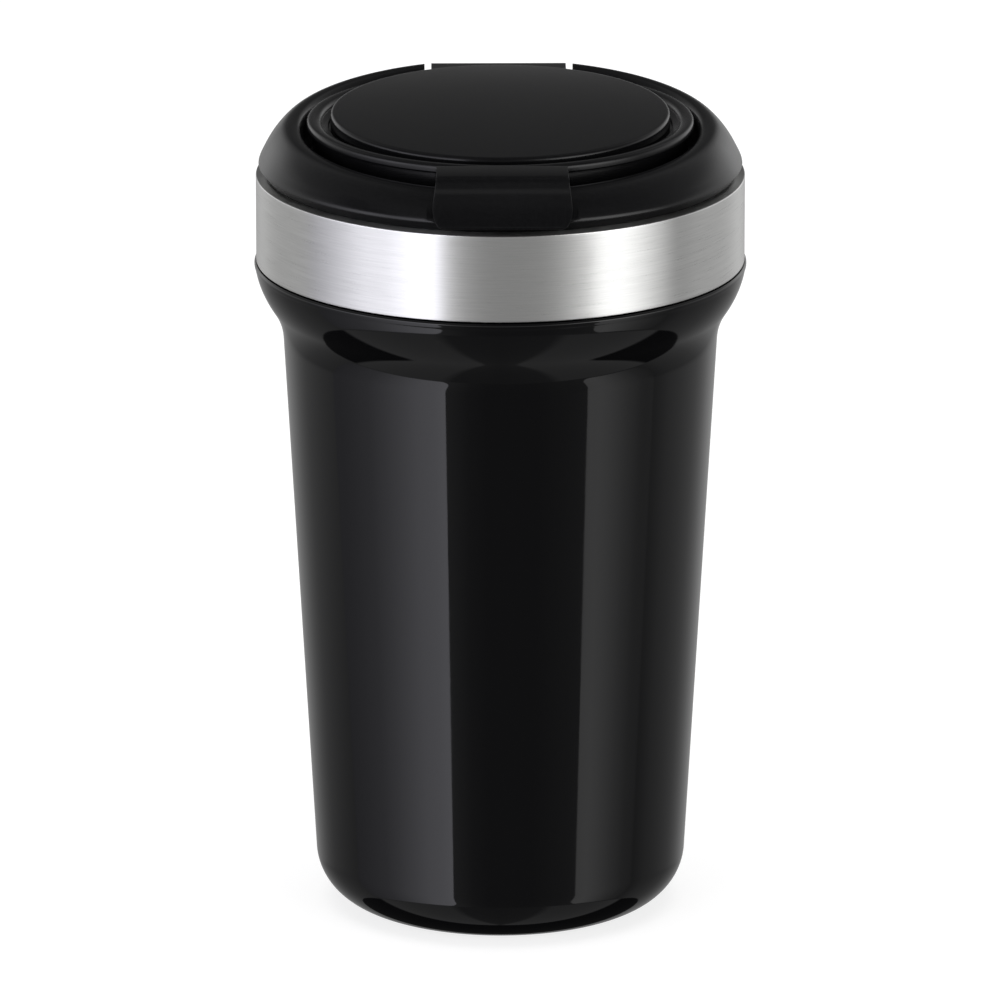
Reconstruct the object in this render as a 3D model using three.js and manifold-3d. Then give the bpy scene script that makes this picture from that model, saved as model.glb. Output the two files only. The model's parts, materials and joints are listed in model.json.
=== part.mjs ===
// Insulated tumbler with a push-in lid and a hinged flip cap.
// Millimetres, +Z up. The origin is the centre of the face the tumbler stands on,
// the thumb tab of the cap points to -Y and the cap's hinge is at +Y.

import * as THREE from 'three';
import { mergeVertices } from 'three/addons/utils/BufferGeometryUtils.js';
import Module from 'manifold-3d';

const wasm = await Module();
wasm.setup();

// ---------------------------------------------------------------- driving dimensions

const SIDES = 40; // facets round the tumbler
const CURVE_STEPS = 4; // straight steps in each curved stretch of an outline
const GAP = 0.3; // clearance between pieces that touch

const PAD = { radius: 21.5, height: 1.4, edge: 0.4 };
const SHELL = {
  bottom: 0.3,
  openingRadius: 23.5,
  cornerRadius: 10.3,
  cornerCentre: 24.03,
  taper: THREE.MathUtils.degToRad(3.32),
  wall: 2,
  waistTop: 108.5, // the straight taper ends here and the shoulder begins
  waistPull: [40.23, 111.9], // control points and middle of the shoulder's double curve, (radius, height)
  shoulderMiddle: [42.13, 114.72],
  shoulderPull: [44.57, 118.3],
  shoulderTop: [45.2, 122.15],
  beadBottom: 122.55,
  beadTop: 122.95,
  beadRadius: 45.35,
  top: 123.25, // the ledge that the steel collar stands on
  spigotRadius: 43.8,
  spigotTop: 131.5,
  spigotBore: 42,
  innerShoulder: [[42, 119], [40, 114.3]],
};
const COLLAR = { radius: 45, wall: 0.8, bottom: 123.55, top: 139.7, mouth: 41.6 };
const LINER = {
  floor: 10, wall: 0.8, inset: 4.9, cornerRadius: 5,
  flareStart: 107.5, flareEnd: 116.5, mouth: 38.5, rim: 41.2,
};
const FOAM = { bottom: 11, top: 107, inset: 2.35, thickness: 2.25 };
const FOAM_DISC = { radius: 22.5, bottom: 4.9, top: 9.7 };
const BASE_CAP = { skirtRadius: 23.1, skirtBottom: 0.6, flangeRadius: 25.4, flangeBottom: 3.4, top: 4.6 };
const BASE_GASKET = { bore: 23.5, radius: 25, bottom: 2.75, top: 3.1 };
// The skirt hangs inside the shell's spigot and the wide part sits on top of it.
const RIM_RING = {
  bore: 39.6, radius: 43.9, bottom: 121, top: 137.8, skirtRadius: 41.4, step: 135.5, reliefRadius: 42.3,
};
const RIM_GASKET = { bottom: 138.15, top: 138.65 };

const LID_RING = {
  radius: 44.5,
  bore: 36.3,
  bottom: 140.05, // the undercut lip hangs down to just above the steel collar
  undercut: 1.3,
  lipBottom: 141.4,
  seat: 142.2,
  crest: 148.8,
  lipPull: [44.5, 142.2], // the outside's curve from the lip to the crest, (radius, height)
  lipTop: [43.7, 143.6],
  flankPull: [42.4, 146.2],
  flankTop: [40.6, 147.8],
  crestOuter: 39.5,
  crestMiddle: 38.4,
  crestInner: 37.4,
  innerEdge: [36.8, 148.2],
  boreTop: 147.4,
};
const RING_GROOVE = { inner: 38, outer: 41.2, top: 144.2, frontWeb: 17, backWeb: 18 };
const RING_SLOPE = 2.35; // how far the ring's top edge drops at the front and rises at the back
const TRAY = {
  floor: 140, wall: 1.8, bowlRadius: 33.4, bowlTop: 34.2, bottomRadius: 33.9,
  hubRadius: 35.6, hubBottom: 136, flangeBottom: 140, flangeTop: 141.9, flangeRadius: 42,
};
const PLUG = { radius: 37.6, wall: 1.6, bottom: 122, top: 139.7 };
const SEAL = { radius: 38.2, bottom: 127.5, height: 3.4, lip: 0.3, rib: 0.7, thickness: 1.1 };
const DRINK = { width: 16, depth: 7, wall: 1.5, y: -21 };
const VENT = { radius: 1.5, wall: 1.5, y: 12, stopperRadius: 3.4 };

const CAP = {
  radius: 35.6,
  skirt: 34.5,
  skirtBore: 33.2,
  bottom: 144.6,
  web: 146.6,
  seat: 148.2,
  crest: 150.15,
  lipPull: [33.1, 150.15], // the raised edge falls from the crest to the dome's seat, (radius, height)
  lipFoot: [32.8, 149.15],
  seatEdge: 148.85,
};
const UNDERPLATE_RADIUS = 32.8;
const STOPPER = { flange: 2, clearance: 0.4, flangeBottom: 143.2, chamfer: 0.6 };
const DOME = {
  radius: 31.2,
  bottom: 148.5,
  wall: 1.2,
  top: 152.5,
  crown: 152.5, // height of the control point between the top and the shoulder
  shoulder: [30.5, 150.9], // the dome's rounded edge, (radius, height)
  edgePull: [31.1, 150.8],
  edge: 150.2,
};
const HINGE = {
  y: 37.2,
  z: 147,
  knuckleRadius: 3.7,
  width: 25.1,
  slot: 27.6,
  pinRadius: 0.9,
  pinLength: 30,
};
// Ears of the lid ring beside the hinge: cones about the hinge axis that clear the turning cap.
const EAR = { inner: 13.3, outer: 20.3, tipRadius: 4.2, rootRadius: 7.2 };
const TAB = {
  topWidth: 23.8,
  bottomWidth: 25.8,
  notch: 27.4,
  corner: [2.4, 3.6], // width and height of the rounded lower corners
  bottom: 140.9,
  top: 152,
  root: [-34, 148.1], // points of the tab's section in (y, height)
  rootTop: -34.6,
  brow: [-40.3, 149.7],
  browPull: [-41.8, 149.2],
  face: [-41.9, 147.3],
  facePull: [-42, 144.8],
  lipHeight: 141.5,
  underLip: -44.3,
  underPull: [-40.7, 143.9],
  underTop: [-40.5, 146.6],
  underRim: [-40, 147.9],
  underRoot: -39,
};

// ---------------------------------------------------------------- materials

const finish = (color, roughness, metalness = 0) =>
  new THREE.MeshStandardMaterial({ color, roughness, metalness });

const FINISH = {
  pianoBlack: () => finish(0x060607, 0.06),
  brushedSteel: () => finish(0xb9b9b7, 0.32, 1),
  steel: () => finish(0xa9aaab, 0.25, 1),
  matteBlack: () => finish(0x131315, 0.55),
  innerBlack: () => finish(0x1b1b1d, 0.6),
  silicone: () => finish(0x3a3b3d, 0.75),
  foam: () => finish(0xd9d4c4, 0.95),
};

// ---------------------------------------------------------------- shape helpers

const AXES = {
  x: new THREE.Vector3(1, 0, 0),
  y: new THREE.Vector3(0, 1, 0),
  z: new THREE.Vector3(0, 0, 1),
};

// A closed three.js geometry as a manifold solid.
function solid(geometry) {
  const bare = geometry.clone();
  bare.deleteAttribute('normal');
  bare.deleteAttribute('uv');
  const merged = mergeVertices(bare, 1e-4);
  const index = merged.index.array;
  const triangles = [];
  for (let i = 0; i < index.length; i += 3) {
    const [a, b, c] = [index[i], index[i + 1], index[i + 2]];
    if (a !== b && b !== c && c !== a) triangles.push(a, b, c);
  }
  return new wasm.Manifold(new wasm.Mesh({
    numProp: 3,
    vertProperties: new Float32Array(merged.attributes.position.array),
    triVerts: new Uint32Array(triangles),
  }));
}

function geometryOf(body) {
  const mesh = body.getMesh();
  const geometry = new THREE.BufferGeometry();
  geometry.setAttribute('position', new THREE.BufferAttribute(mesh.vertProperties.slice(), 3));
  geometry.setIndex(new THREE.BufferAttribute(mesh.triVerts.slice(), 1));
  geometry.computeVertexNormals();
  return geometry;
}

const polygon = (points) => new THREE.Path(points.map(([r, z]) => new THREE.Vector2(r, z)));

// Turns an outline in (radius, height) about the Z axis. The outline runs counter-clockwise
// and either starts and ends on the axis or closes on itself.
function turned(path, steps = CURVE_STEPS, sides = SIDES) {
  const points = path.getPoints(steps);
  const onAxis = points[0].x === 0 && points.at(-1).x === 0;
  if (!onAxis && points[0].distanceTo(points.at(-1)) > 0) points.push(points[0].clone());
  return new THREE.LatheGeometry(points, sides).rotateX(Math.PI / 2);
}

const ring = (inner, outer, bottom, top) =>
  solid(turned(polygon([[inner, bottom], [outer, bottom], [outer, top], [inner, top]])));

// A box given by its lowest and highest corners.
function block(low, high) {
  const size = high.map((value, axis) => value - low[axis]);
  const centre = high.map((value, axis) => (value + low[axis]) / 2);
  return solid(new THREE.BoxGeometry(...size).translate(...centre));
}

// Extrudes an outline drawn in (y, z) along X, centred on x = 0.
function acrossX(shape, width) {
  const geometry = new THREE.ExtrudeGeometry(shape, {
    depth: width, bevelEnabled: false, curveSegments: CURVE_STEPS,
  });
  const turn = new THREE.Matrix4().makeBasis(AXES.y, AXES.z, AXES.x);
  return solid(geometry.applyMatrix4(turn).translate(-width / 2, 0, 0));
}

// Extrudes an outline drawn in (x, z) from y = back towards the front by depth.
function alongY(shape, back, depth) {
  const geometry = new THREE.ExtrudeGeometry(shape, {
    depth, bevelEnabled: false, curveSegments: CURVE_STEPS,
  });
  const turn = new THREE.Matrix4().makeBasis(AXES.x, AXES.z, AXES.y.clone().negate());
  return solid(geometry.applyMatrix4(turn).translate(0, back, 0));
}

// A round bar along X about the hinge axis; its radius may change from one end to the other.
function hingeBar(radiusLow, radiusHigh, xLow, xHigh, sides = 24) {
  const bar = new THREE.CylinderGeometry(radiusHigh, radiusLow, xHigh - xLow, sides);
  bar.rotateZ(-Math.PI / 2).translate((xLow + xHigh) / 2, HINGE.y, HINGE.z);
  return solid(bar);
}

// An oval column standing on the XY plane's z = bottom, its long side along X.
function ovalColumn(width, depth, y, bottom, top, chamfer = 0) {
  const radius = depth / 2 - chamfer;
  const reach = (width - depth) / 2;
  const oval = new THREE.Shape();
  oval.absarc(reach, 0, radius, -Math.PI / 2, Math.PI / 2);
  oval.absarc(-reach, 0, radius, Math.PI / 2, Math.PI * 1.5);
  const geometry = new THREE.ExtrudeGeometry(oval, {
    depth: top - bottom - 2 * chamfer,
    bevelEnabled: chamfer > 0,
    bevelThickness: chamfer,
    bevelSize: chamfer,
    bevelSegments: 1,
    curveSegments: 8,
  });
  return solid(geometry.translate(0, y, bottom + chamfer));
}

function roundColumn(radius, y, bottom, top) {
  const column = new THREE.CylinderGeometry(radius, radius, top - bottom, 16);
  return solid(column.rotateX(Math.PI / 2).translate(0, y, (bottom + top) / 2));
}

// ---------------------------------------------------------------- the tumbler

// Outer radius of the shell's straight taper at a height.
function wallRadius(z) {
  const start = SHELL.cornerCentre + SHELL.cornerRadius * Math.cos(SHELL.taper);
  const startHeight = SHELL.bottom + SHELL.cornerRadius * (1 - Math.sin(SHELL.taper));
  return start + (z - startHeight) * Math.tan(SHELL.taper);
}

function outerShell() {
  const { bottom, openingRadius, cornerRadius, cornerCentre, wall, taper } = SHELL;
  const cornerHeight = bottom + cornerRadius;
  const outline = new THREE.Path();
  outline.moveTo(openingRadius, bottom);
  outline.lineTo(cornerCentre, bottom);
  outline.absarc(cornerCentre, cornerHeight, cornerRadius, -Math.PI / 2, -taper);
  outline.lineTo(wallRadius(SHELL.waistTop), SHELL.waistTop);
  outline.quadraticCurveTo(...SHELL.waistPull, ...SHELL.shoulderMiddle);
  outline.quadraticCurveTo(...SHELL.shoulderPull, ...SHELL.shoulderTop);
  outline.lineTo(SHELL.beadRadius, SHELL.beadBottom);
  outline.lineTo(SHELL.beadRadius, SHELL.beadTop);
  outline.lineTo(SHELL.beadRadius - GAP, SHELL.top);
  outline.lineTo(SHELL.spigotRadius, SHELL.top);
  outline.lineTo(SHELL.spigotRadius, SHELL.spigotTop);
  outline.lineTo(SHELL.spigotBore, SHELL.spigotTop);
  for (const point of SHELL.innerShoulder) outline.lineTo(...point);
  outline.lineTo(wallRadius(SHELL.waistTop) - wall, SHELL.waistTop);
  outline.absarc(cornerCentre, cornerHeight, cornerRadius - wall, -taper, -Math.PI / 2, true);
  outline.lineTo(openingRadius, bottom + wall);
  return solid(turned(outline));
}

function baseCap() {
  const { skirtRadius, skirtBottom, flangeRadius, flangeBottom, top } = BASE_CAP;
  return solid(turned(polygon([
    [0, PAD.height + GAP], [PAD.radius + GAP, PAD.height + GAP], [PAD.radius + GAP, skirtBottom],
    [skirtRadius, skirtBottom], [skirtRadius, flangeBottom], [flangeRadius, flangeBottom],
    [flangeRadius, top], [0, top],
  ])));
}

const baseGasket = () => ring(BASE_GASKET.bore, BASE_GASKET.radius, BASE_GASKET.bottom, BASE_GASKET.top);

function antiSlipPad() {
  const { radius, height, edge } = PAD;
  return solid(turned(polygon([
    [0, 0], [radius - edge, 0], [radius, edge], [radius, height], [0, height],
  ])));
}

function foamSleeve() {
  const { bottom, top, inset, thickness } = FOAM;
  return solid(turned(polygon([
    [wallRadius(bottom) - inset - thickness, bottom], [wallRadius(bottom) - inset, bottom],
    [wallRadius(top) - inset, top], [wallRadius(top) - inset - thickness, top],
  ])));
}

function foamDisc() {
  const { radius, bottom, top } = FOAM_DISC;
  return solid(turned(polygon([[0, bottom], [radius, bottom], [radius, top], [0, top]])));
}

function innerLiner() {
  const { floor, wall, inset, cornerRadius, flareStart, flareEnd, mouth, rim } = LINER;
  const cornerHeight = floor + cornerRadius;
  const cornerCentre = wallRadius(cornerHeight) - inset - cornerRadius;
  const rimBottom = COLLAR.top - wall + 0.1; // a rolled rim a little thinner than the wall
  const outline = new THREE.Path();
  outline.moveTo(0, floor);
  outline.lineTo(cornerCentre, floor);
  outline.absarc(cornerCentre, cornerHeight, cornerRadius, -Math.PI / 2, 0);
  outline.lineTo(wallRadius(flareStart) - inset, flareStart);
  outline.lineTo(mouth + wall, flareEnd);
  outline.lineTo(mouth + wall, rimBottom);
  outline.lineTo(rim, rimBottom);
  outline.lineTo(rim, COLLAR.top);
  outline.lineTo(mouth, COLLAR.top);
  outline.lineTo(mouth, flareEnd + GAP);
  outline.lineTo(wallRadius(flareStart) - inset - wall, flareStart + GAP);
  outline.absarc(cornerCentre, cornerHeight, cornerRadius - wall, 0, -Math.PI / 2, true);
  outline.lineTo(0, floor + wall);
  return solid(turned(outline));
}

function steelCollar() {
  const { radius, wall, bottom, top, mouth } = COLLAR;
  const outline = new THREE.Path();
  outline.moveTo(radius - wall, bottom);
  outline.lineTo(radius, bottom);
  outline.lineTo(radius, top - wall);
  outline.quadraticCurveTo(radius, top, radius - wall, top);
  outline.lineTo(mouth, top);
  outline.lineTo(mouth, top - wall);
  outline.lineTo(radius - wall, top - wall);
  return solid(turned(outline, 3));
}

function rimRing() {
  const { bore, radius, bottom, top, skirtRadius, step, reliefRadius } = RIM_RING;
  const seat = SHELL.spigotTop + GAP;
  return solid(turned(polygon([
    [bore, bottom], [skirtRadius, bottom], [skirtRadius, step], [reliefRadius, step],
    [reliefRadius, seat], [radius, seat], [radius, top], [bore, top],
  ])));
}

// ---------------------------------------------------------------- the lid

// Slopes the lid ring: its top edge is lower over the tab and higher over the hinge.
function slope(geometry) {
  const position = geometry.attributes.position;
  for (let i = 0; i < position.count; i += 1) {
    const [x, y, z] = [position.getX(i), position.getY(i), position.getZ(i)];
    const share = THREE.MathUtils.clamp((z - LID_RING.seat) / (LID_RING.crest - LID_RING.seat), 0, 1);
    position.setZ(i, z + RING_SLOPE * share * (y / Math.hypot(x, y)));
  }
  return geometry;
}

function ringBlank() {
  const { radius, bore, bottom, seat, crest, crestOuter, crestMiddle, crestInner } = LID_RING;
  const trayEdge = TRAY.flangeRadius + GAP + 0.1;
  const outline = new THREE.Path();
  outline.moveTo(bore, seat);
  outline.lineTo(trayEdge, seat);
  outline.lineTo(trayEdge, bottom);
  outline.lineTo(radius - LID_RING.undercut, bottom);
  outline.lineTo(radius - 0.2, LID_RING.lipBottom);
  outline.lineTo(radius, LID_RING.lipBottom + GAP);
  outline.quadraticCurveTo(...LID_RING.lipPull, ...LID_RING.lipTop);
  outline.quadraticCurveTo(...LID_RING.flankPull, ...LID_RING.flankTop);
  outline.quadraticCurveTo(crestOuter, crest, crestMiddle, crest);
  outline.quadraticCurveTo(crestInner, crest, ...LID_RING.innerEdge);
  outline.lineTo(bore, LID_RING.boreTop);
  return solid(slope(turned(outline)));
}

// The tab's underside from its lip up to the cap's rim, in (y, z), moved back by clearance.
function tabUnderside(path, clearance) {
  const [pullY, pullZ] = TAB.underPull;
  const [topY, topZ] = TAB.underTop;
  const [rimY, rimZ] = TAB.underRim;
  path.lineTo(TAB.underLip + clearance, TAB.bottom);
  path.quadraticCurveTo(pullY + clearance, pullZ - clearance / 2, topY + clearance, topZ - clearance);
  path.lineTo(rimY + clearance, rimZ - clearance);
}

function tabNotch() {
  const section = new THREE.Shape();
  section.moveTo(-47, CAP.crest + 1);
  section.lineTo(-47, TAB.bottom - 0.35);
  section.lineTo(TAB.underLip + 0.5, TAB.bottom - 0.35);
  tabUnderside(section, 0.5);
  section.lineTo(TAB.underRoot - 0.5, CAP.crest + 1);
  return acrossX(section, TAB.notch);
}

// A groove moulded into the ring's underside, left solid over the tab and beside the hinge.
function undersideGroove() {
  const { inner, outer, top, frontWeb, backWeb } = RING_GROOVE;
  const webs = block([-frontWeb, -46, 141], [frontWeb, -30, 152])
    .add(block([-backWeb, 30, 141], [backWeb, 46, 152]));
  return ring(inner, outer, LID_RING.seat - GAP, top).subtract(webs);
}

// What is cut from the ring in front of and above the hinge axis: only the conical ears stand there.
function earRelief() {
  const { inner, outer, tipRadius, rootRadius } = EAR;
  const sector = block([-outer, HINGE.y - 12, HINGE.z], [outer, HINGE.y, HINGE.z + 12]);
  return sector
    .subtract(hingeBar(rootRadius, tipRadius, -outer, -inner))
    .subtract(hingeBar(tipRadius, rootRadius, inner, outer));
}

function lidRing() {
  const { knuckleRadius, slot, z, pinRadius, pinLength } = HINGE;
  const hingeSlot = block([-slot / 2, 25, z - knuckleRadius - 0.5], [slot / 2, 47, 153]);
  const pinHole = hingeBar(pinRadius + GAP, pinRadius + GAP, -pinLength / 2 - GAP, pinLength / 2 + GAP, 12);
  return ringBlank()
    .subtract(undersideGroove())
    .subtract(tabNotch())
    .subtract(hingeSlot)
    .subtract(earRelief())
    .subtract(pinHole);
}

function lidTray() {
  const { floor, wall, bottomRadius, hubRadius, hubBottom, flangeBottom, flangeTop, flangeRadius } = TRAY;
  const dish = solid(turned(polygon([
    [0, floor - wall], [bottomRadius, floor - wall], [bottomRadius, hubBottom], [hubRadius, hubBottom],
    [hubRadius, flangeBottom], [flangeRadius, flangeBottom], [flangeRadius, flangeTop],
    [TRAY.bowlTop, flangeTop], [TRAY.bowlRadius, floor], [0, floor],
  ])));
  const drinkTube = ovalColumn(
    DRINK.width + 2 * DRINK.wall, DRINK.depth + 2 * DRINK.wall, DRINK.y, PLUG.bottom, floor - 1);
  const ventTube = roundColumn(VENT.radius + VENT.wall, VENT.y, PLUG.bottom, floor - 1);
  return dish
    .add(drinkTube)
    .add(ventTube)
    .subtract(ovalColumn(DRINK.width, DRINK.depth, DRINK.y, PLUG.bottom - 2, floor + 2))
    .subtract(roundColumn(VENT.radius, VENT.y, PLUG.bottom - 2, floor + 2));
}

function lidPlug() {
  const { radius, wall, bottom, top } = PLUG;
  const grooveRadius = radius - 0.8;
  const grooveBottom = SEAL.bottom - GAP;
  const grooveTop = SEAL.bottom + SEAL.height + GAP;
  const cup = solid(turned(polygon([
    [0, bottom], [radius - 1, bottom], [radius, bottom + 1], [radius, grooveBottom],
    [grooveRadius, grooveBottom], [grooveRadius, grooveTop], [radius, grooveTop], [radius, top],
    [radius - wall, top], [radius - wall, bottom + wall + 1], [radius - wall - 1, bottom + wall],
    [0, bottom + wall],
  ])));
  const room = 2 * (DRINK.wall + GAP);
  return cup
    .subtract(ovalColumn(DRINK.width + room, DRINK.depth + room, DRINK.y, bottom - 2, bottom + 3))
    .subtract(roundColumn(VENT.radius + VENT.wall + GAP, VENT.y, bottom - 2, bottom + 3));
}

function lidSeal() {
  const { radius, bottom, height, lip, rib, thickness } = SEAL;
  const top = bottom + height;
  return solid(turned(polygon([
    [radius - thickness, bottom], [radius - lip, bottom], [radius, bottom + rib],
    [radius - lip, bottom + 2 * rib], [radius - lip, top - 2 * rib],
    [radius, top - rib], [radius - lip, top], [radius - thickness, top],
  ])));
}

// ---------------------------------------------------------------- the flip cap

function capDisc() {
  const { radius, skirt, skirtBore, bottom, web, seat, crest, lipFoot } = CAP;
  const well = DOME.radius + 0.4;
  const outline = new THREE.Path();
  outline.moveTo(0, web);
  outline.lineTo(skirtBore, web);
  outline.lineTo(skirtBore, bottom);
  outline.lineTo(skirt, bottom);
  outline.lineTo(skirt, seat + 0.1);
  outline.lineTo(radius, seat + 0.5);
  outline.lineTo(radius, crest - 0.9);
  outline.quadraticCurveTo(radius, crest, radius - 1, crest);
  outline.quadraticCurveTo(...CAP.lipPull, ...lipFoot);
  outline.lineTo(well, CAP.seatEdge);
  outline.lineTo(well, seat);
  outline.lineTo(0, seat);
  return solid(turned(outline));
}

function thumbTab() {
  const lip = -SHELL.beadRadius;
  const section = new THREE.Shape();
  section.moveTo(...TAB.root);
  section.lineTo(TAB.rootTop, CAP.crest);
  section.quadraticCurveTo(-38, CAP.crest, ...TAB.brow);
  section.quadraticCurveTo(...TAB.browPull, ...TAB.face);
  section.quadraticCurveTo(...TAB.facePull, lip, TAB.lipHeight);
  section.lineTo(lip + 0.1, TAB.bottom + 0.1);
  tabUnderside(section, 0);
  section.lineTo(TAB.underRoot, TAB.root[1]);
  const { topWidth, bottomWidth, corner, bottom, top } = TAB;
  const front = new THREE.Shape();
  front.moveTo(-topWidth / 2, top);
  front.lineTo(-bottomWidth / 2, bottom + corner[1]);
  front.quadraticCurveTo(-bottomWidth / 2, bottom, -bottomWidth / 2 + corner[0], bottom);
  front.lineTo(bottomWidth / 2 - corner[0], bottom);
  front.quadraticCurveTo(bottomWidth / 2, bottom, bottomWidth / 2, bottom + corner[1]);
  front.lineTo(topWidth / 2, top);
  return acrossX(section, bottomWidth + 2).intersect(alongY(front, -30, 20));
}

function hingeKnuckle() {
  const { y, z, knuckleRadius, width } = HINGE;
  const half = width / 2;
  const round = hingeBar(knuckleRadius, knuckleRadius, -half, half);
  const neck = block([-half, 33, CAP.bottom], [half, y, z + knuckleRadius]);
  return round.add(neck).intersect(ring(30, LID_RING.radius - 2.5, 140, 155));
}

function flipCap() {
  const half = HINGE.width / 2 + 1;
  const bore = hingeBar(HINGE.pinRadius + GAP, HINGE.pinRadius + GAP, -half, half, 12);
  return capDisc().add(thumbTab()).add(hingeKnuckle()).subtract(bore);
}

function capDome() {
  const { radius, bottom, wall, top, crown, shoulder, edgePull, edge } = DOME;
  const outline = new THREE.Path();
  outline.moveTo(0, top - wall);
  outline.quadraticCurveTo(radius / 2, crown - wall, radius - wall, edge - GAP);
  outline.lineTo(radius - wall, bottom);
  outline.lineTo(radius, bottom);
  outline.lineTo(radius, edge);
  outline.quadraticCurveTo(...edgePull, ...shoulder);
  outline.quadraticCurveTo(radius / 2, crown, 0, top);
  return solid(turned(outline));
}

function capUnderplate() {
  const bottom = CAP.bottom + GAP;
  const top = CAP.web - 0.4;
  const radius = UNDERPLATE_RADIUS;
  return solid(turned(polygon([[0, bottom], [radius, bottom], [radius, top], [0, top]])));
}

function drinkStopper() {
  const { width, depth, y } = DRINK;
  const { flange, clearance, flangeBottom, chamfer } = STOPPER;
  const tip = TRAY.floor - TRAY.wall;
  const collar = ovalColumn(width + 2 * flange, depth + 2 * flange, y, flangeBottom, CAP.bottom);
  const plug = ovalColumn(width - 2 * clearance, depth - 2 * clearance, y, tip, flangeBottom + 1, chamfer);
  return collar.add(plug);
}

function ventStopper() {
  return roundColumn(VENT.stopperRadius, VENT.y, TRAY.floor + GAP, CAP.bottom);
}

// ---------------------------------------------------------------- assembly

function piece(name, body, material) {
  const mesh = new THREE.Mesh(geometryOf(body), material);
  mesh.name = name;
  return mesh;
}

const mug = new THREE.Group();
mug.add(
  piece('outer_shell', outerShell(), FINISH.pianoBlack()),
  piece('steel_collar', steelCollar(), FINISH.brushedSteel()),
  piece('rim_ring', rimRing(), FINISH.innerBlack()),
  piece('rim_gasket', ring(RIM_RING.bore, LINER.rim, RIM_GASKET.bottom, RIM_GASKET.top), FINISH.silicone()),
  piece('inner_liner', innerLiner(), FINISH.steel()),
  piece('foam_sleeve', foamSleeve(), FINISH.foam()),
  piece('foam_disc', foamDisc(), FINISH.foam()),
  piece('base_cap', baseCap(), FINISH.innerBlack()),
  piece('base_gasket', baseGasket(), FINISH.silicone()),
  piece('anti_slip_pad', antiSlipPad(), FINISH.silicone()),
);

const lid = new THREE.Group();
lid.add(
  piece('lid_ring', lidRing(), FINISH.matteBlack()),
  piece('lid_tray', lidTray(), FINISH.innerBlack()),
  piece('lid_plug', lidPlug(), FINISH.innerBlack()),
  piece('lid_seal', lidSeal(), FINISH.silicone()),
  piece('hinge_pin', hingeBar(HINGE.pinRadius, HINGE.pinRadius,
    -HINGE.pinLength / 2, HINGE.pinLength / 2, 12), FINISH.steel()),
);

const cap = new THREE.Group();
cap.add(
  piece('flip_cap', flipCap(), FINISH.matteBlack()),
  piece('cap_dome', capDome(), FINISH.matteBlack()),
  piece('cap_underplate', capUnderplate(), FINISH.innerBlack()),
  piece('drink_stopper', drinkStopper(), FINISH.silicone()),
  piece('vent_stopper', ventStopper(), FINISH.silicone()),
);

lid.add(cap);
const tumbler = new THREE.Group();
tumbler.add(mug, lid);

export default tumbler;
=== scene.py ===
"""Insulated tumbler with a push-in lid and a hinged flip cap: fine surfaces, finishes and studio.

Outlines are written in millimetres, as (radius, height) or (y, z) pairs, and become metres in the meshes.
"""

import json
import math

import bmesh
import bpy
import numpy as np
from mathutils import Matrix, Vector


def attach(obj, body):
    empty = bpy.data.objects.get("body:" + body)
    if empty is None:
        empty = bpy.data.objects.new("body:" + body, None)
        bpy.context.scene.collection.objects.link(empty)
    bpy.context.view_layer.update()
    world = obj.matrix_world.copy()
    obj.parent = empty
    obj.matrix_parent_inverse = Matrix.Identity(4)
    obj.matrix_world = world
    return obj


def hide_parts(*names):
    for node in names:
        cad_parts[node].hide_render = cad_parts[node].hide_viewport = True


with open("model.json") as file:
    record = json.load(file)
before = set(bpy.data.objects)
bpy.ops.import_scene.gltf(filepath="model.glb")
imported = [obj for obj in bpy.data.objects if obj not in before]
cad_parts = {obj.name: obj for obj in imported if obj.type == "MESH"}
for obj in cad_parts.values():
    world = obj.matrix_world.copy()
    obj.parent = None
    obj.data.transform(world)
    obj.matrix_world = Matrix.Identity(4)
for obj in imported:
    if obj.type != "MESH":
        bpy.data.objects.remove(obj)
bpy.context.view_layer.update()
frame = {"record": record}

MM = 0.001
RECORD = frame["record"]
COLOURS = {m["slot"]: m["base_color"] for m in RECORD["materials"]}
SLOT_OF = {s["node"]: s["material_slot"] for s in RECORD["subparts"]}
BODY_OF = {node: body for body, nodes in RECORD["behaviour"]["bodies"].items() for node in nodes}

FINE = 192  # columns round the pieces that show
PLAIN = 96  # columns round the hidden ones

TAPER = math.radians(3.32)
CORNER = (24.03, 10.6)  # centre of the shell's rounded base edge
CORNER_RADIUS = 10.3
WAIST_TOP = 108.5
SHELL_WALL = 2.0
COLLAR_TOP = 139.7
RING_SEAT = 142.2
RING_CREST = 148.8
RING_SLOPE = 2.35
DOME_TILT = 0.8  # the dome is lower over the tab and higher over the hinge by this much
HINGE_Y = 37.2
HINGE_Z = 147.0
KNUCKLE = 3.7
PIN = 0.9
TAB_BOTTOM = 140.9
TAB_CORNER = (3.0, 4.2)  # width and height of its rounded lower corners
DRINK = {"width": 16, "depth": 7, "wall": 1.5, "y": -21}
VENT = {"radius": 1.5, "wall": 1.5, "y": 12}


# ---------------------------------------------------------------- outlines

class Outline:
    """A path in a plane, drawn with straight and curved stretches."""

    def __init__(self, x, y):
        self.points = [(x, y)]

    def line(self, *points):
        self.points.extend(points)
        return self

    def quad(self, control, end, steps=10):
        start = self.points[-1]
        for i in range(1, steps + 1):
            t = i / steps
            self.points.append(tuple(
                (1 - t) ** 2 * start[k] + 2 * t * (1 - t) * control[k] + t * t * end[k] for k in (0, 1)))
        return self

    def arc(self, centre, radius, start, end, steps=20):
        for i in range(steps + 1):
            angle = start + (end - start) * i / steps
            self.points.append((centre[0] + radius * math.cos(angle), centre[1] + radius * math.sin(angle)))
        return self


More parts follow.
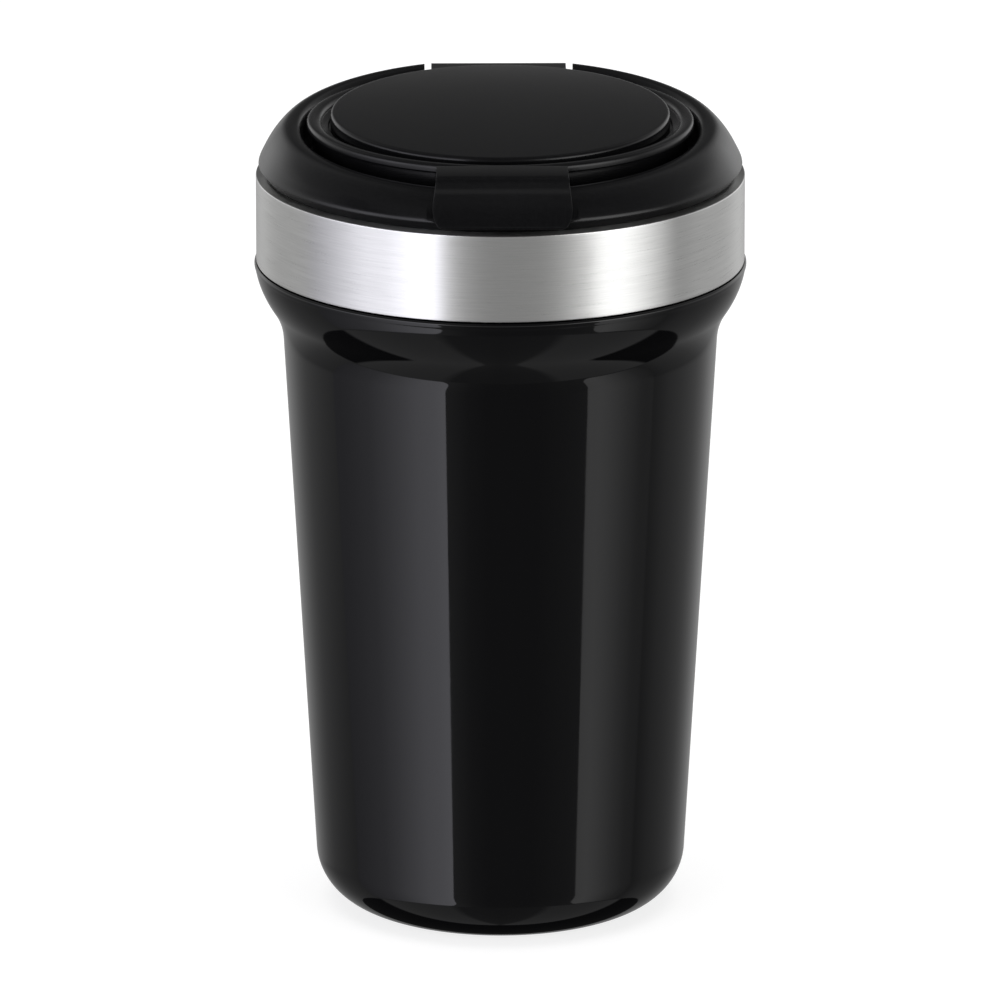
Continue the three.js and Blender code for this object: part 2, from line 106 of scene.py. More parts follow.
def softened(points, radius, closed, steps=4, least_turn=math.radians(24)):
    """Rounds every sharp corner of an outline."""
    result = []
    count = len(points)
    for i, point in enumerate(points):
        if not closed and i in (0, count - 1):
            result.append(point)
            continue
        here = Vector(point)
        back = Vector(points[i - 1]) - here
        ahead = Vector(points[(i + 1) % count]) - here
        if back.length < 1e-6 or ahead.length < 1e-6:
            continue
        turn = math.pi - back.angle(ahead)
        if turn < least_turn:
            result.append(point)
            continue
        reach = min(radius * math.tan(turn / 2), 0.42 * back.length, 0.42 * ahead.length)
        first = here + back.normalized() * reach
        last = here + ahead.normalized() * reach
        for k in range(steps + 1):
            t = k / steps
            result.append(tuple((1 - t) ** 2 * first + 2 * t * (1 - t) * here + t * t * last))
    return result


def evened(points, closed, longest=7.0, support=0.35):
    """Splits long straight stretches, with a point close to each end that keeps the shading flat."""
    result = []
    count = len(points)
    for i, point in enumerate(points):
        result.append(point)
        if i == count - 1 and not closed:
            break
        after = points[(i + 1) % count]
        length = math.dist(point, after)
        if length < 4 * support:
            continue
        pieces = max(1, math.ceil((length - 2 * support) / longest))
        for k in range(pieces + 1):
            t = (support + (length - 2 * support) * k / pieces) / length
            result.append((point[0] + (after[0] - point[0]) * t, point[1] + (after[1] - point[1]) * t))
    return result


def wall_radius(z):
    """Outer radius of the shell's straight taper at a height."""
    start = CORNER[0] + CORNER_RADIUS * math.cos(TAPER)
    start_height = CORNER[1] - CORNER_RADIUS * math.sin(TAPER)
    return start + (z - start_height) * math.tan(TAPER)


# ---------------------------------------------------------------- solids

def new_object(name, mesh_data):
    mesh = bpy.data.meshes.new(name)
    bmesh.ops.recalc_face_normals(mesh_data, faces=mesh_data.faces)
    mesh_data.to_mesh(mesh)
    mesh_data.free()
    obj = bpy.data.objects.new(name, mesh)
    bpy.context.scene.collection.objects.link(obj)
    return obj


def turned(name, points, soft=0.12, columns=FINE, shape=None):
    """Turns an outline about the Z axis. It starts and ends on the axis, or closes on itself."""
    on_axis = points[0][0] == 0 and points[-1][0] == 0
    outline = evened(softened(points, soft, not on_axis), not on_axis)
    mesh_data = bmesh.new()
    rings = []
    for r, z in outline:
        if r < 1e-9:
            rings.append([mesh_data.verts.new((0, 0, z * MM))])
            continue
        ring = []
        for c in range(columns):
            angle = 2 * math.pi * c / columns
            x, y = r * math.cos(angle), r * math.sin(angle)
            height = z if shape is None else shape(x, y, z)
            ring.append(mesh_data.verts.new((x * MM, y * MM, height * MM)))
        rings.append(ring)
    pairs = list(zip(rings, rings[1:])) + ([] if on_axis else [(rings[-1], rings[0])])
    for low, high in pairs:
        for c in range(columns):
            d = (c + 1) % columns
            corners = [low[c % len(low)], low[d % len(low)], high[d % len(high)], high[c % len(high)]]
            distinct = list(dict.fromkeys(corners))
            if len(distinct) > 2:
                mesh_data.faces.new(distinct)
    return new_object(name, mesh_data)


def crossbar(name, points, half_width, soft=0.2, edge=0.0, columns=24, clamp=None):
    """Carries a (y, z) section across X. half_width(z) is its reach; edge rounds the two side rims."""
    section = evened(softened(points, soft, True), True, longest=2.0, support=0.25)
    mesh_data = bmesh.new()
    rows = []
    for c in range(columns + 1):
        share = 2 * c / columns - 1
        row = []
        for y, z in section:
            x = share * half_width(z)
            row.append(mesh_data.verts.new((x * MM, (clamp(x, y) if clamp else y) * MM, z * MM)))
        rows.append(row)
    count = len(section)
    for low, high in zip(rows, rows[1:]):
        for i in range(count):
            j = (i + 1) % count
            mesh_data.faces.new((low[i], low[j], high[j], high[i]))
    rims = []
    for row in (rows[0], rows[-1]):
        face = mesh_data.faces.new(row)
        rims.extend(face.edges)
    bmesh.ops.recalc_face_normals(mesh_data, faces=mesh_data.faces)
    if edge:
        bmesh.ops.bevel(mesh_data, geom=rims, offset=edge * MM, segments=4, profile=0.5,
                        affect="EDGES", clamp_overlap=True)
    caps = [f for f in mesh_data.faces if len(f.verts) > 4]
    bmesh.ops.triangulate(mesh_data, faces=caps)
    return new_object(name, mesh_data)


def column(name, width, depth, y, bottom, top, soft=0.0, steps=24):
    """An upright column with round ends, its long side along X; round where width equals depth."""
    reach = (width - depth) / 2
    rounding = [math.pi / 2 * k / 4 for k in range(5)] if soft else [math.pi / 2]
    levels = [(bottom + soft * (1 - math.sin(a)), soft * (1 - math.sin(math.pi / 2 - a))) for a in rounding]
    levels = levels[::-1] if soft else [(bottom, 0)]
    levels += [(top - (z - bottom), inset) for z, inset in reversed(levels)]
    mesh_data = bmesh.new()
    rings = []
    for z, inset in levels:
        ring = []
        for k in range(2 * steps):
            angle = -math.pi / 2 + math.pi * k / steps
            side = reach if k < steps else -reach
            radius = depth / 2 - inset
            ring.append(mesh_data.verts.new((
                (side + radius * math.cos(angle)) * MM, (y + radius * math.sin(angle)) * MM, z * MM)))
        rings.append(ring)
    for low, high in zip(rings, rings[1:]):
        for k in range(2 * steps):
            j = (k + 1) % (2 * steps)
            mesh_data.faces.new((low[k], low[j], high[j], high[k]))
    mesh_data.faces.new(rings[0])
    mesh_data.faces.new(rings[-1])
    bmesh.ops.remove_doubles(mesh_data, verts=mesh_data.verts, dist=1e-7)
    return new_object(name, mesh_data)


def block(name, low, high):
    mesh_data = bmesh.new()
    bmesh.ops.create_cube(mesh_data, size=1)
    for v in mesh_data.verts:
        v.co = Vector([(low[k] + (high[k] - low[k]) * (v.co[k] + 0.5)) * MM for k in range(3)])
    return new_object(name, mesh_data)


def hinge_bar(name, x_low, x_high, radius_low, radius_high, edge=0.0, steps=64):
    """A round bar along X about the hinge axis."""
    stations = [(x_low, 0), (x_low, radius_low - edge), (x_low + edge, radius_low),
                (x_high - edge, radius_high), (x_high, radius_high - edge), (x_high, 0)]
    if not edge:
        stations = [(x_low, 0), (x_low, radius_low), (x_high, radius_high), (x_high, 0)]
    mesh_data = bmesh.new()
    rings = []
    for x, radius in stations:
        if radius == 0:
            rings.append([mesh_data.verts.new((x * MM, HINGE_Y * MM, HINGE_Z * MM))])
            continue
        rings.append([mesh_data.verts.new((
            x * MM,
            (HINGE_Y + radius * math.cos(2 * math.pi * k / steps)) * MM,
            (HINGE_Z + radius * math.sin(2 * math.pi * k / steps)) * MM)) for k in range(steps)])
    for low, high in zip(rings, rings[1:]):
        for k in range(steps):
            j = (k + 1) % steps
            corners = [low[k % len(low)], low[j % len(low)], high[j % len(high)], high[k % len(high)]]
            mesh_data.faces.new(list(dict.fromkeys(corners)))
    return new_object(name, mesh_data)


def cut(obj, *cutters, operation="DIFFERENCE"):
    for cutter in cutters:
        modifier = obj.modifiers.new("cut", "BOOLEAN")
        modifier.operation = operation
        modifier.solver = "EXACT"
        modifier.object = cutter
    graph = bpy.context.evaluated_depsgraph_get()
    mesh = bpy.data.meshes.new_from_object(obj.evaluated_get(graph))
    obj.modifiers.clear()
    obj.data = mesh
    mesh.name = obj.name
    for cutter in cutters:
        bpy.data.objects.remove(cutter)
    return obj


def merged(name, *objects):
    """One object from several closed bodies."""
    mesh_data = bmesh.new()
    for obj in objects:
        mesh_data.from_mesh(obj.data)
        bpy.data.objects.remove(obj)
    mesh = bpy.data.meshes.new(name)
    mesh_data.to_mesh(mesh)
    mesh_data.free()
    result = bpy.data.objects.new(name, mesh)
    bpy.context.scene.collection.objects.link(result)
    return result


# ---------------------------------------------------------------- the tumbler

def outer_shell():
    inner_corner = CORNER_RADIUS - SHELL_WALL
    outline = Outline(23.5, 0.3).line((CORNER[0], 0.3))
    outline.arc(CORNER, CORNER_RADIUS, -math.pi / 2, -TAPER, 40)
    outline.line((wall_radius(WAIST_TOP), WAIST_TOP))
    outline.quad((40.23, 111.9), (42.13, 114.72), 24)
    outline.quad((44.57, 118.3), (45.2, 122.15), 24)
    outline.line((45.35, 122.55), (45.35, 122.95), (45.05, 123.25), (43.8, 123.25), (43.8, 131.5), (42, 131.5))
    outline.line((42, 119), (40, 114.3), (wall_radius(WAIST_TOP) - SHELL_WALL, WAIST_TOP))
    outline.arc(CORNER, inner_corner, -TAPER, -math.pi / 2, 20)
    outline.line((23.5, 2.3))
    return turned("outer_shell", outline.points, soft=0.15)


def steel_collar():
    inside = COLLAR_TOP - 0.8
    edge = 0.25
    outline = Outline(44.2, 123.55).line((45, 123.55), (45, COLLAR_TOP - edge))
    outline.quad((45, COLLAR_TOP), (45 - edge, COLLAR_TOP), 10)
    outline.line((41.6, COLLAR_TOP), (41.6, inside), (44.2, inside))
    return turned("steel_collar", outline.points, soft=0.1)


def inner_liner():
    corner = wall_radius(15) - 4.9 - 5
    outline = Outline(0, 10).line((corner, 10))
    outline.arc((corner, 15), 5, -math.pi / 2, 0, 20)
    outline.line((wall_radius(107.5) - 4.9, 107.5), (39.3, 116.5), (39.3, 139), (41.2, 139))
    outline.line((41.2, COLLAR_TOP), (38.5, COLLAR_TOP), (38.5, 116.8), (wall_radius(107.5) - 5.7, 107.8))
    outline.arc((corner, 15), 4.2, 0, -math.pi / 2, 20)
    outline.line((0, 10.8))
    return turned("inner_liner", outline.points, soft=0.25)


def rim_ring():
    return turned("rim_ring", [
        (39.6, 121), (41.4, 121), (41.4, 135.5), (42.3, 135.5), (42.3, 131.9), (43.9, 131.9),
        (43.9, 137.8), (39.6, 137.8)], columns=PLAIN)


def plain_ring(name, inner, outer, bottom, top):
    points = [(inner, bottom), (outer, bottom), (outer, top), (inner, top)]
    return turned(name, points, soft=0.1, columns=PLAIN)


def foam_sleeve():
    low, high = wall_radius(11) - 2.35, wall_radius(107) - 2.35
    return turned("foam_sleeve", [(low - 2.25, 11), (low, 11), (high, 107), (high - 2.25, 107)], columns=PLAIN)


def base_cap():
    return turned("base_cap", [
        (0, 1.7), (21.8, 1.7), (21.8, 0.6), (23.1, 0.6), (23.1, 3.4), (25.4, 3.4), (25.4, 4.6), (0, 4.6)])


def anti_slip_pad():
    return turned("anti_slip_pad", [(0, 0), (21.1, 0), (21.5, 0.4), (21.5, 1.4), (0, 1.4)], soft=0.3)


# ---------------------------------------------------------------- the lid

def tab_underside(outline, clearance):
    """From the tab's lip up to the cap's rim, moved back by clearance."""
    outline.line((-44.3 + clearance, TAB_BOTTOM))
    outline.quad((-40.7 + clearance, 143.9 - clearance / 2), (-40.5 + clearance, 146.6 - clearance), 14)
    outline.line((-40 + clearance, 147.9 - clearance))


def slope(x, y, z):
    """The ring's top edge is lower over the tab and higher over the hinge."""
    share = min(max((z - RING_SEAT) / (RING_CREST - RING_SEAT), 0), 1)
    return z + RING_SLOPE * share * y / math.hypot(x, y)


def lid_ring():
    outline = Outline(36.3, RING_SEAT).line((42.4, RING_SEAT), (42.4, 140.05), (43.2, 140.05), (44.3, 141.4), (44.5, 141.7))
    outline.quad((44.5, 142.2), (43.7, 143.6), 12)
    outline.quad((42.4, 146.2), (40.6, 147.8), 16)
    outline.quad((39.5, RING_CREST), (38.4, RING_CREST), 12)
    outline.quad((37.4, RING_CREST), (36.8, 148.2), 8)
    outline.line((36.3, 147.4))
    ring = turned("lid_ring", outline.points, soft=0.15, shape=slope)
    notch = Outline(-47, 151).line((-47, TAB_BOTTOM - 0.35), (-43.8, TAB_BOTTOM - 0.35))
    tab_underside(notch, 0.5)
    notch.line((-39.5, 151))
    sector = block("sector", (-20.25, HINGE_Y - 12, HINGE_Z), (20.25, HINGE_Y, HINGE_Z + 12))
    cut(sector, hinge_bar("ear", -20.3, -13.3, 7.2, 4.2), hinge_bar("ear", 13.3, 20.3, 4.2, 7.2))
    return cut(
        ring,
        crossbar("notch", notch.points, lambda z: 13.7, soft=0.0, columns=1),
        block("slot", (-13.8, 25, 142.8), (13.8, 47, 153)),
        sector,
        hinge_bar("pin_hole", -15.3, 15.3, PIN + 0.3, PIN + 0.3),
    )


def lid_tray():
    dish = turned("lid_tray", [
        (0, 138.2), (33.9, 138.2), (33.9, 136), (35.6, 136), (35.6, 140), (42, 140), (42, 141.9),
        (34.2, 141.9), (33.4, 140), (0, 140)], soft=0.4)
    wall = 2 * DRINK["wall"]
    tubes = merged(
        "tubes",
        column("tube", DRINK["width"] + wall, DRINK["depth"] + wall, DRINK["y"], 122, 139.2, soft=0.3),
        column("tube", 6, 6, VENT["y"], 122, 139.2, soft=0.3))
    cut(dish, tubes, operation="UNION")
    return cut(
        dish,
        column("drink", DRINK["width"], DRINK["depth"], DRINK["y"], 120, 142),
        column("vent", 3, 3, VENT["y"], 120, 142))


def lid_plug():
    cup = turned("lid_plug", [
        (0, 122), (36.6, 122), (37.6, 123), (37.6, 127.2), (36.8, 127.2), (36.8, 131.2), (37.6, 131.2),
        (37.6, 139.7), (36, 139.7), (36, 124.6), (35, 123.6), (0, 123.6)], soft=0.25)
    room = 2 * (DRINK["wall"] + 0.3)
    return cut(
        cup,
        column("drink", DRINK["width"] + room, DRINK["depth"] + room, DRINK["y"], 120, 125),
        column("vent", 6.6, 6.6, VENT["y"], 120, 125))


def lid_seal():
    return turned("lid_seal", [
        (37.1, 127.5), (37.9, 127.5), (38.2, 128.2), (37.9, 128.9), (37.9, 129.5), (38.2, 130.2),
        (37.9, 130.9), (37.1, 130.9)], soft=0.2)


# ---------------------------------------------------------------- the flip cap

def cap_disc():
    outline = Outline(0, 146.6).line((33.2, 146.6), (33.2, 144.6), (34.5, 144.6), (34.5, 148.3))
    outline.line((35.6, 148.7), (35.6, 149.25))
    outline.quad((35.6, 150.15), (34.6, 150.15), 12)
    outline.quad((33.1, 150.15), (32.8, 149.15), 14)
    outline.line((31.6, 148.85), (31.6, 148.2), (0, 148.2))
    return turned("disc", outline.points, soft=0.15)


def thumb_tab():
    outline = Outline(-34, 148.1).line((-34.6, 150.13))
    outline.quad((-38, 150.13), (-40.3, 149.7), 12)
    outline.quad((-41.8, 149.2), (-41.9, 147.3), 14)
    outline.quad((-42, 144.8), (-45.35, 141.5), 20)
    outline.line((-45.25, 141))
    tab_underside(outline, 0)
    outline.line((-39, 148.1))

    def half_width(z):
        half = 12.8 - 0.9 * (z - 143.5) / 6.6
        below = max(TAB_BOTTOM + TAB_CORNER[1] - z, 0) / TAB_CORNER[1]
        return half - TAB_CORNER[0] * (1 - math.sqrt(max(1 - below ** 2, 0)))

    return crossbar("tab", outline.points, half_width, soft=0.25, edge=0.6)


def hinge_knuckle():
    outline = Outline(33, 144.6)
    start = math.asin((144.6 - HINGE_Z) / KNUCKLE)
    outline.arc((HINGE_Y, HINGE_Z), KNUCKLE, -math.pi - start, -math.pi * 1.5 + 2 * math.pi, 40)
    outline.line((33, HINGE_Z + KNUCKLE))
    knuckle = crossbar(
        "knuckle", outline.points, lambda z: 12.55, soft=0.1, edge=0.4,
        clamp=lambda x, y: min(y, math.sqrt(42 ** 2 - x ** 2)))
    return cut(knuckle, hinge_bar("bore", -14, 14, PIN + 0.3, PIN + 0.3))


def flip_cap():
    return merged("flip_cap", cap_disc(), thumb_tab(), hinge_knuckle())


def cap_dome():
    outline = Outline(0, 151.6).quad((15.6, 151.6), (30, 150.3), 12)
    outline.line((30, 148.5), (31.2, 148.5), (31.2, 150.7))
    outline.quad((31.1, 151.3), (30.5, 151.4), 12)
    outline.quad((15.6, 152.5), (0, 152.5), 20)

    def tilt(x, y, z):
        share = min(max((z - 148.8) / 1.4, 0), 1)
        return z + DOME_TILT * share * y / 31.2

    return turned("cap_dome", outline.points, soft=0.1, shape=tilt)


def cap_underplate():
    return turned("cap_underplate", [(0, 144.9), (32.8, 144.9), (32.8, 146.2), (0, 146.2)], soft=0.2)


def drink_stopper():
    return merged(
        "drink_stopper",
        column("flange", DRINK["width"] + 4, DRINK["depth"] + 4, DRINK["y"], 143.2, 144.6, soft=0.4),
        column("plug", DRINK["width"] - 0.8, DRINK["depth"] - 0.8, DRINK["y"], 138.2, 144.2, soft=0.8))


# ---------------------------------------------------------------- finishes

class Finish:
    """A procedural material for one of the record's slots."""

    def __init__(self, slot, roughness, metallic=0.0):
        self.material = bpy.data.materials.new(slot)
        self.material.use_nodes = True
        self.tree = self.material.node_tree
        self.shader = self.tree.nodes["Principled BSDF"]
        self.shader.inputs["Base Color"].default_value = (*COLOURS[slot], 1)
        self.shader.inputs["Roughness"].default_value = roughness
        self.shader.inputs["Metallic"].default_value = metallic
        self.place = self.tree.nodes.new("ShaderNodeTexCoord").outputs["Object"]
        self.normal = None

    def link(self, output, socket):
        self.tree.links.new(output, socket)

    def noise(self, scale, detail=2.0, stretch=(1, 1, 1), roughness=0.5):
        mapping = self.tree.nodes.new("ShaderNodeMapping")
        mapping.inputs["Scale"].default_value = stretch
        texture = self.tree.nodes.new("ShaderNodeTexNoise")
        texture.inputs["Scale"].default_value = scale
        texture.inputs["Detail"].default_value = detail
        texture.inputs["Roughness"].default_value = roughness
        self.link(self.place, mapping.inputs["Vector"])
        self.link(mapping.outputs["Vector"], texture.inputs["Vector"])
        return texture.outputs["Fac"]

    def ranged(self, value, low, high, start=0.3, stop=0.7):
        node = self.tree.nodes.new("ShaderNodeMapRange")
        for name, number in (("From Min", start), ("From Max", stop), ("To Min", low), ("To Max", high)):
            node.inputs[name].default_value = number
        self.link(value, node.inputs["Value"])
        return node.outputs["Result"]

    def rough(self, value, low, high):
        self.link(self.ranged(value, low, high), self.shader.inputs["Roughness"])

    def tint(self, value, dark, light):
        ramp = self.tree.nodes.new("ShaderNodeValToRGB")
        base = self.shader.inputs["Base Color"].default_value
        for stop, position, gain in zip(ramp.color_ramp.elements, (0.3, 0.7), (dark, light)):
            stop.position = position
            stop.color = (base[0] * gain, base[1] * gain, base[2] * gain, 1)
        self.link(value, ramp.inputs["Fac"])
        self.link(ramp.outputs["Color"], self.shader.inputs["Base Color"])

    def bump(self, value, strength, depth):
        node = self.tree.nodes.new("ShaderNodeBump")
        node.inputs["Strength"].default_value = strength
        node.inputs["Distance"].default_value = depth
        self.link(value, node.inputs["Height"])
        if self.normal is not None:
            self.link(self.normal, node.inputs["Normal"])
        self.normal = node.outputs["Normal"]
        self.link(self.normal, self.shader.inputs["Normal"])

    def brushed(self, anisotropy):
        """The grain runs round the Z axis."""
        tangent = self.tree.nodes.new("ShaderNodeTangent")
        tangent.direction_type = "RADIAL"
        tangent.axis = "Z"
        self.link(tangent.outputs["Tangent"], self.shader.inputs["Tangent"])
        self.shader.inputs["Anisotropic"].default_value = anisotropy
        self.shader.inputs["Anisotropic Rotation"].default_value = 0.25


def gloss_shell():
    finish = Finish("gloss_shell", 0.05)
    finish.rough(finish.noise(70, 4, stretch=(1, 1, 0.4)), 0.035, 0.07)
    finish.bump(finish.noise(240, 1), 0.03, 0.0001)
    finish.bump(finish.noise(9000, 2), 0.01, 0.00002)
    return finish.material


def brushed_collar():
    finish = Finish("brushed_collar", 0.3, 1.0)
    grain = finish.noise(90, 5, stretch=(1, 1, 45), roughness=0.75)
    finish.tint(grain, 0.9, 1.07)
    finish.rough(grain, 0.26, 0.35)
    finish.bump(grain, 0.08, 0.00002)
    finish.brushed(0.8)
    return finish.material


def liner_steel():
    finish = Finish("liner_steel", 0.3, 1.0)
    grain = finish.noise(45, 3, stretch=(1, 1, 70))
    finish.tint(finish.noise(60, 3), 0.92, 1.05)
    finish.rough(grain, 0.22, 0.36)
    finish.bump(grain, 0.08, 0.00003)
    return finish.material


def matte_lid():
    finish = Finish("matte_lid", 0.22)
    finish.shader.inputs["Specular IOR Level"].default_value = 0.26
    finish.rough(finish.noise(90, 3), 0.19, 0.25)
    finish.tint(finish.noise(1600, 3), 0.8, 1.25)
    finish.bump(finish.noise(3200, 2, roughness=0.6), 0.3, 0.00004)
    return finish.material


def inner_plastic():
    finish = Finish("inner_plastic", 0.5)
    finish.shader.inputs["Specular IOR Level"].default_value = 0.15
    finish.rough(finish.noise(110, 3), 0.42, 0.58)
    finish.tint(finish.noise(700, 2), 0.85, 1.15)
    finish.bump(finish.noise(2400, 2), 0.25, 0.00004)
    return finish.material


def silicone():
    finish = Finish("silicone", 0.7)
    finish.rough(finish.noise(140, 3), 0.62, 0.8)
    finish.tint(finish.noise(500, 3), 0.85, 1.15)
    finish.bump(finish.noise(1800, 3), 0.3, 0.00005)
    finish.shader.inputs["Sheen Weight"].default_value = 0.15
    return finish.material


def foam():
    finish = Finish("foam", 0.95)
    cells = finish.noise(900, 3, roughness=0.7)
    finish.tint(cells, 0.8, 1.1)
    finish.bump(cells, 0.8, 0.0004)
    return finish.material


MAKERS = (gloss_shell, brushed_collar, liner_steel, matte_lid, inner_plastic, silicone, foam)
FINISHES = {maker.__name__: maker() for maker in MAKERS}
SHARP = math.radians(38)


def place(obj, node):
    """Gives a finished piece its looks and its place on the object."""
    mesh = obj.data
    mesh.materials.clear()
    mesh.materials.append(FINISHES[SLOT_OF[node]])
    mesh.polygons.foreach_set("use_smooth", [True] * len(mesh.polygons))
    mesh.set_sharp_from_angle(angle=SHARP)
    obj.name = node + "_fine"
    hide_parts(node)
    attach(obj, BODY_OF[node])


PIECES = {
    "outer_shell": outer_shell,
    "steel_collar": steel_collar,
    "rim_ring": rim_ring,
    "rim_gasket": lambda: plain_ring("rim_gasket", 39.6, 41.2, 138.15, 138.65),
    "inner_liner": inner_liner,
    "foam_sleeve": foam_sleeve,
    "foam_disc": lambda: turned("foam_disc", [(0, 4.9), (22.5, 4.9), (22.5, 9.7), (0, 9.7)], columns=PLAIN),
    "base_cap": base_cap,
    "base_gasket": lambda: plain_ring("base_gasket", 23.5, 25, 2.75, 3.1),
    "anti_slip_pad": anti_slip_pad,
    "lid_ring": lid_ring,
    "lid_tray": lid_tray,
    "lid_plug": lid_plug,
    "lid_seal": lid_seal,
    "hinge_pin": lambda: hinge_bar("hinge_pin", -15, 15, PIN, PIN, edge=0.2),
    "flip_cap": flip_cap,
    "cap_dome": cap_dome,
    "cap_underplate": cap_underplate,
    "drink_stopper": drink_stopper,
    "vent_stopper": lambda: column("vent_stopper", 6.8, 6.8, VENT["y"], 140.3, 144.6, soft=0.6),
}
for node_name, make in PIECES.items():
    place(make(), node_name)


# ---------------------------------------------------------------- studio

SKY_RADIUS = 12.0

# Brightness of each light panel, and of the room behind them, by azimuth in degrees.
# Azimuth 0 is the camera's side, and it grows to the camera's right.
LEFT_PANEL = [(-103, 0.2), (-90, 0.31), (-77, 0.45), (-67, 0.67), (-56, 0.98), (-47, 1.26), (-37, 1.45), (-30.5, 1.65)]
RIGHT_PANEL = [(48.5, 0.84), (56, 0.86), (61, 0.76), (67, 0.6), (74, 0.42), (83, 0.25), (92, 0.16)]
ROOM = [(-180, 0.3), (-157, 0.28), (-130, 0.2), (-100, 0.2), (-40, 0.24), (-28, 0.2), (-18, 0.12), (-8, 0.09),
        (20, 0.09), (35, 0.12), (46, 0.15), (92, 0.15), (103, 0.2), (130, 0.22), (157, 0.32), (180, 0.3)]
# How that brightness changes with elevation in degrees.
LEFT_RISE = [(-41, 1), (-20, 1), (-8, 1.4), (5, 2.2), (18, 2.2), (34, 0.9), (45, 0.7)]
RIGHT_RISE = [(-41, 1), (-20, 1), (-8, 2.2), (5, 4), (18, 4), (34, 1.4), (45, 1)]
FRONT_RISE = [(-90, 1.3), (-17, 1), (-12, 7.4), (-3, 7.4), (5, 2.2), (40, 2), (58, 1), (90, 0.5)]
SIDE_RISE = [(-90, 1), (-43, 1), (-22, 1), (-8, 3), (5, 4.5), (14, 4.5), (28, 1.6), (65, 0.8), (90, 0.5)]
BACK_RISE = [(-90, 1), (-43, 1), (-22, 1), (-12, 1.6), (-2, 1.9), (5, 1), (12, 0.36), (30, 0.36), (45, 0.27), (90, 0.3)]
RISES = [(0, FRONT_RISE), (36, FRONT_RISE), (39, SIDE_RISE), (148, SIDE_RISE), (165, BACK_RISE), (180, BACK_RISE)]
# The far ends of the panels gain more of it, by azimuth.
LEFT_GAIN = [(-103, 3.9), (-72, 3.6), (-58, 1.1), (-30, 1)]
RIGHT_GAIN = [(48, 1), (58, 1), (70, 2.3), (92, 3.6)]
# The lower half of the room: lit beside the tumbler, black behind it.
UNDER_EDGE = -42.0
UNDER_LEVELS = [(0, 0.12), (30, 0.14), (38, 0.3), (97, 0.3), (100, 0.02), (180, 0.02)]
# A panel's inner edge leans outwards as it goes down, by this share of the height.
LEAN = {"left_panel": 0.12, "right_panel": -0.45}
LEAN_FROM = -23.0
PANEL_LOW = -41.0
PANEL_HIGH = 45.0
PANEL_CORNER = 7.0
LEFT_TINT = (0.985, 0.98, 1.06)
PLAIN_TINT = (1, 1, 1)


def direction(azimuth, elevation):
    a, e = math.radians(azimuth), math.radians(elevation)
    return Vector((math.sin(a) * math.cos(e), -math.cos(a) * math.cos(e), math.sin(e)))


def glow_material(name):
    material = bpy.data.materials.new(name)
    material.use_nodes = True
    nodes = material.node_tree.nodes
    nodes.clear()
    glow = nodes.new("ShaderNodeAttribute")
    glow.attribute_name = "glow"
    emission = nodes.new("ShaderNodeEmission")
    output = nodes.new("ShaderNodeOutputMaterial")
    material.node_tree.links.new(glow.outputs["Color"], emission.inputs["Color"])
    material.node_tree.links.new(emission.outputs["Emission"], output.inputs["Surface"])
    return material


def lit_sheet(name, columns, radius, tint, material):
    """A curved light. columns is a list of rows of (azimuth, elevation, brightness)."""
    mesh = bpy.data.meshes.new(name)
    rows = len(columns[0])
    points = [direction(a, e) * radius for column in columns for a, e, _ in column]
    faces = []
    for c in range(len(columns) - 1):
        for r in range(rows - 1):
            i = c * rows + r
            faces.append((i, i + 1, i + rows + 1, i + rows))
    mesh.from_pydata(points, [], faces)
    glow = mesh.attributes.new("glow", "FLOAT_COLOR", "POINT")
    colours = [(level * tint[0], level * tint[1], level * tint[2], 1) for column in columns for _, _, level in column]
    glow.data.foreach_set("color", np.ravel(colours))
    mesh.materials.append(material)
    obj = bpy.data.objects.new(name, mesh)
    bpy.context.scene.collection.objects.link(obj)
    obj.visible_camera = False
    obj.visible_shadow = False
    return obj


def level_at(table, angle):
    return float(np.interp(angle, *zip(*table)))


def panel(name, table, rise, gain, tint, material):
    first, last = table[0][0], table[-1][0]
    columns = []
    for i in range(61):
        azimuth = first + (last - first) * (1 - math.cos(math.pi * i / 60)) / 2
        near = min(azimuth - first, last - azimuth)
        inset = 0.0
        if near < PANEL_CORNER:
            inset = PANEL_CORNER - math.sqrt(PANEL_CORNER ** 2 - (PANEL_CORNER - near) ** 2)
        low, high = PANEL_LOW + inset, PANEL_HIGH - inset
        elevations = [low + (high - low) * r / 16 for r in range(17)]
        column = []
        for e in elevations:
            level = level_at(table, azimuth) * (1 + level_at(gain, azimuth) * (level_at(rise, e) - 1))
            column.append((azimuth + LEAN[name] * max(e - LEAN_FROM, 0), e, max(level, 0.05)))
        columns.append(column)
    return lit_sheet(name, columns, SKY_RADIUS - 0.5, tint, material)


def room_level(azimuth, elevation):
    if elevation < UNDER_EDGE:
        return level_at(UNDER_LEVELS, abs(azimuth))
    share = 0.0
    for (start, rise), (stop, next_rise) in zip(RISES, RISES[1:]):
        if start <= abs(azimuth) <= stop:
            t = (abs(azimuth) - start) / (stop - start)
            share = level_at(rise, elevation) * (1 - t) + level_at(next_rise, elevation) * t
    return level_at(ROOM, azimuth) * share


def room(material):
    elevations = [*range(-90, -45, 3), UNDER_EDGE - 0.1, UNDER_EDGE, *range(-40, 91, 2)]
    columns = []
    for step in range(-120, 121):
        azimuth = 1.5 * step
        columns.append([(azimuth, e, room_level(azimuth, e)) for e in elevations])
    return lit_sheet("room", columns, SKY_RADIUS, PLAIN_TINT, material)


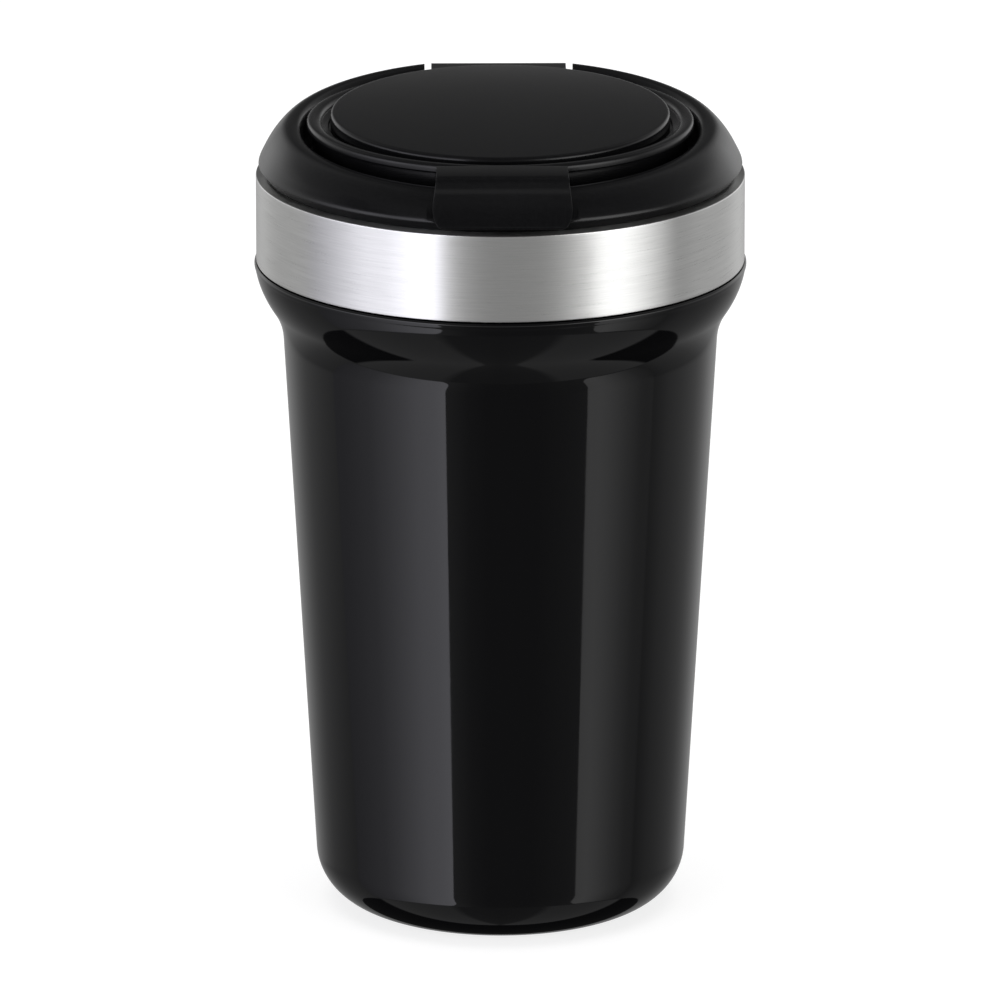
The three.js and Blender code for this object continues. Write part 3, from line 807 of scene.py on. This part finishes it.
def floor():
    mesh_data = bmesh.new()
    bmesh.ops.create_circle(mesh_data, cap_ends=True, segments=96, radius=SKY_RADIUS - 1)
    obj = new_object("floor", mesh_data)
    material = bpy.data.materials.new("floor")
    material.use_nodes = True
    shader = material.node_tree.nodes["Principled BSDF"]
    shader.inputs["Base Color"].default_value = (0.3, 0.3, 0.3, 1)
    shader.inputs["Emission Color"].default_value = (1, 1, 1, 1)
    shader.inputs["Emission Strength"].default_value = 0.8
    shader.inputs["Roughness"].default_value = 1.0
    shader.inputs["Specular IOR Level"].default_value = 0.0
    obj.data.materials.append(material)
    obj.visible_glossy = False
    obj.visible_diffuse = False
    obj.visible_shadow = False
    return obj


def overhead():
    light = bpy.data.lights.new("overhead", "AREA")
    light.shape = "DISK"
    light.size = 7.0
    light.energy = 300
    obj = bpy.data.objects.new("overhead", light)
    obj.location = (0, 0, 6)
    obj.visible_camera = False
    obj.visible_glossy = False
    bpy.context.scene.collection.objects.link(obj)


def backdrop():
    world = bpy.data.worlds.new("backdrop")
    world.use_nodes = True
    world.node_tree.nodes["Background"].inputs["Color"].default_value = (1, 1, 1, 1)
    bpy.context.scene.world = world
    for kind in ("diffuse", "glossy", "transmission", "scatter"):
        setattr(world.cycles_visibility, kind, False)


def camera():
    distance, elevation, azimuth = 2.3, 16.49, -0.54
    target = Vector((-0.00007, 0, 0.0768))
    data = bpy.data.cameras.new("camera")
    data.sensor_width = 36
    data.lens = 446.6
    data.clip_start = 0.05
    data.clip_end = 60
    obj = bpy.data.objects.new("camera", data)
    towards = direction(azimuth, elevation)
    obj.location = target + towards * distance
    obj.rotation_euler = towards.to_track_quat("Z", "Y").to_euler()
    bpy.context.scene.collection.objects.link(obj)
    bpy.context.scene.camera = obj


glow = glow_material("glow")
panel("left_panel", LEFT_PANEL, LEFT_RISE, LEFT_GAIN, LEFT_TINT, glow)
panel("right_panel", RIGHT_PANEL, RIGHT_RISE, RIGHT_GAIN, PLAIN_TINT, glow)
room(glow)
floor()
overhead()
backdrop()
camera()
bpy.context.scene.view_settings.view_transform = "Standard"
